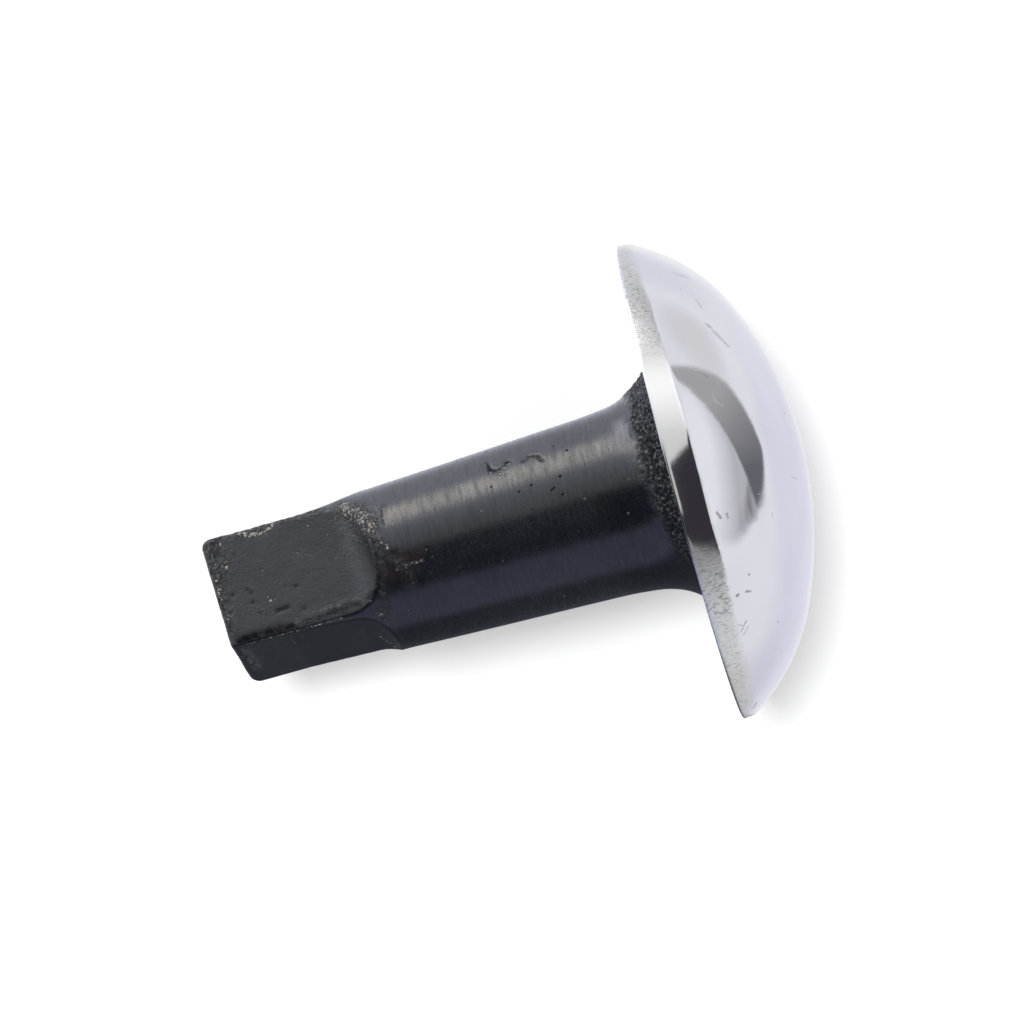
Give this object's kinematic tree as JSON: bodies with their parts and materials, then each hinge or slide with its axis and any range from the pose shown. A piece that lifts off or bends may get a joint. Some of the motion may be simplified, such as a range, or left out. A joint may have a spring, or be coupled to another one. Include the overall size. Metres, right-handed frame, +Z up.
{
  "type": "mushroom dome stake",
  "caption": "Polished steel dome on a black enamelled stem with a square tang, for raising and planishing sheet metal; held by the tang in a stake holder or vise.",
  "frame": {"origin": "centre of the tang's end face, at the bottom of the stake", "axes": "+Z up the stem's axis to the dome's crown; the tang's flats face -Y, +X, +Y and -X"},
  "size_m": [0.0736, 0.0736, 0.0911],
  "materials": {
    "polished_steel": "mirror-polished steel with fine hand-polishing scratches and small pits; the rim band is coarser ground",
    "black_enamel": "semi-gloss black enamel over turned and milled steel, chipped to bare metal on the tang's edges",
    "painted_weld": "coarse, grainy weld bead under the same black enamel"
  },
  "bodies": {
    "root": {"dome_head": "polished_steel", "stem": "black_enamel", "root_weld": "painted_weld"}
  },
  "joints": []
}
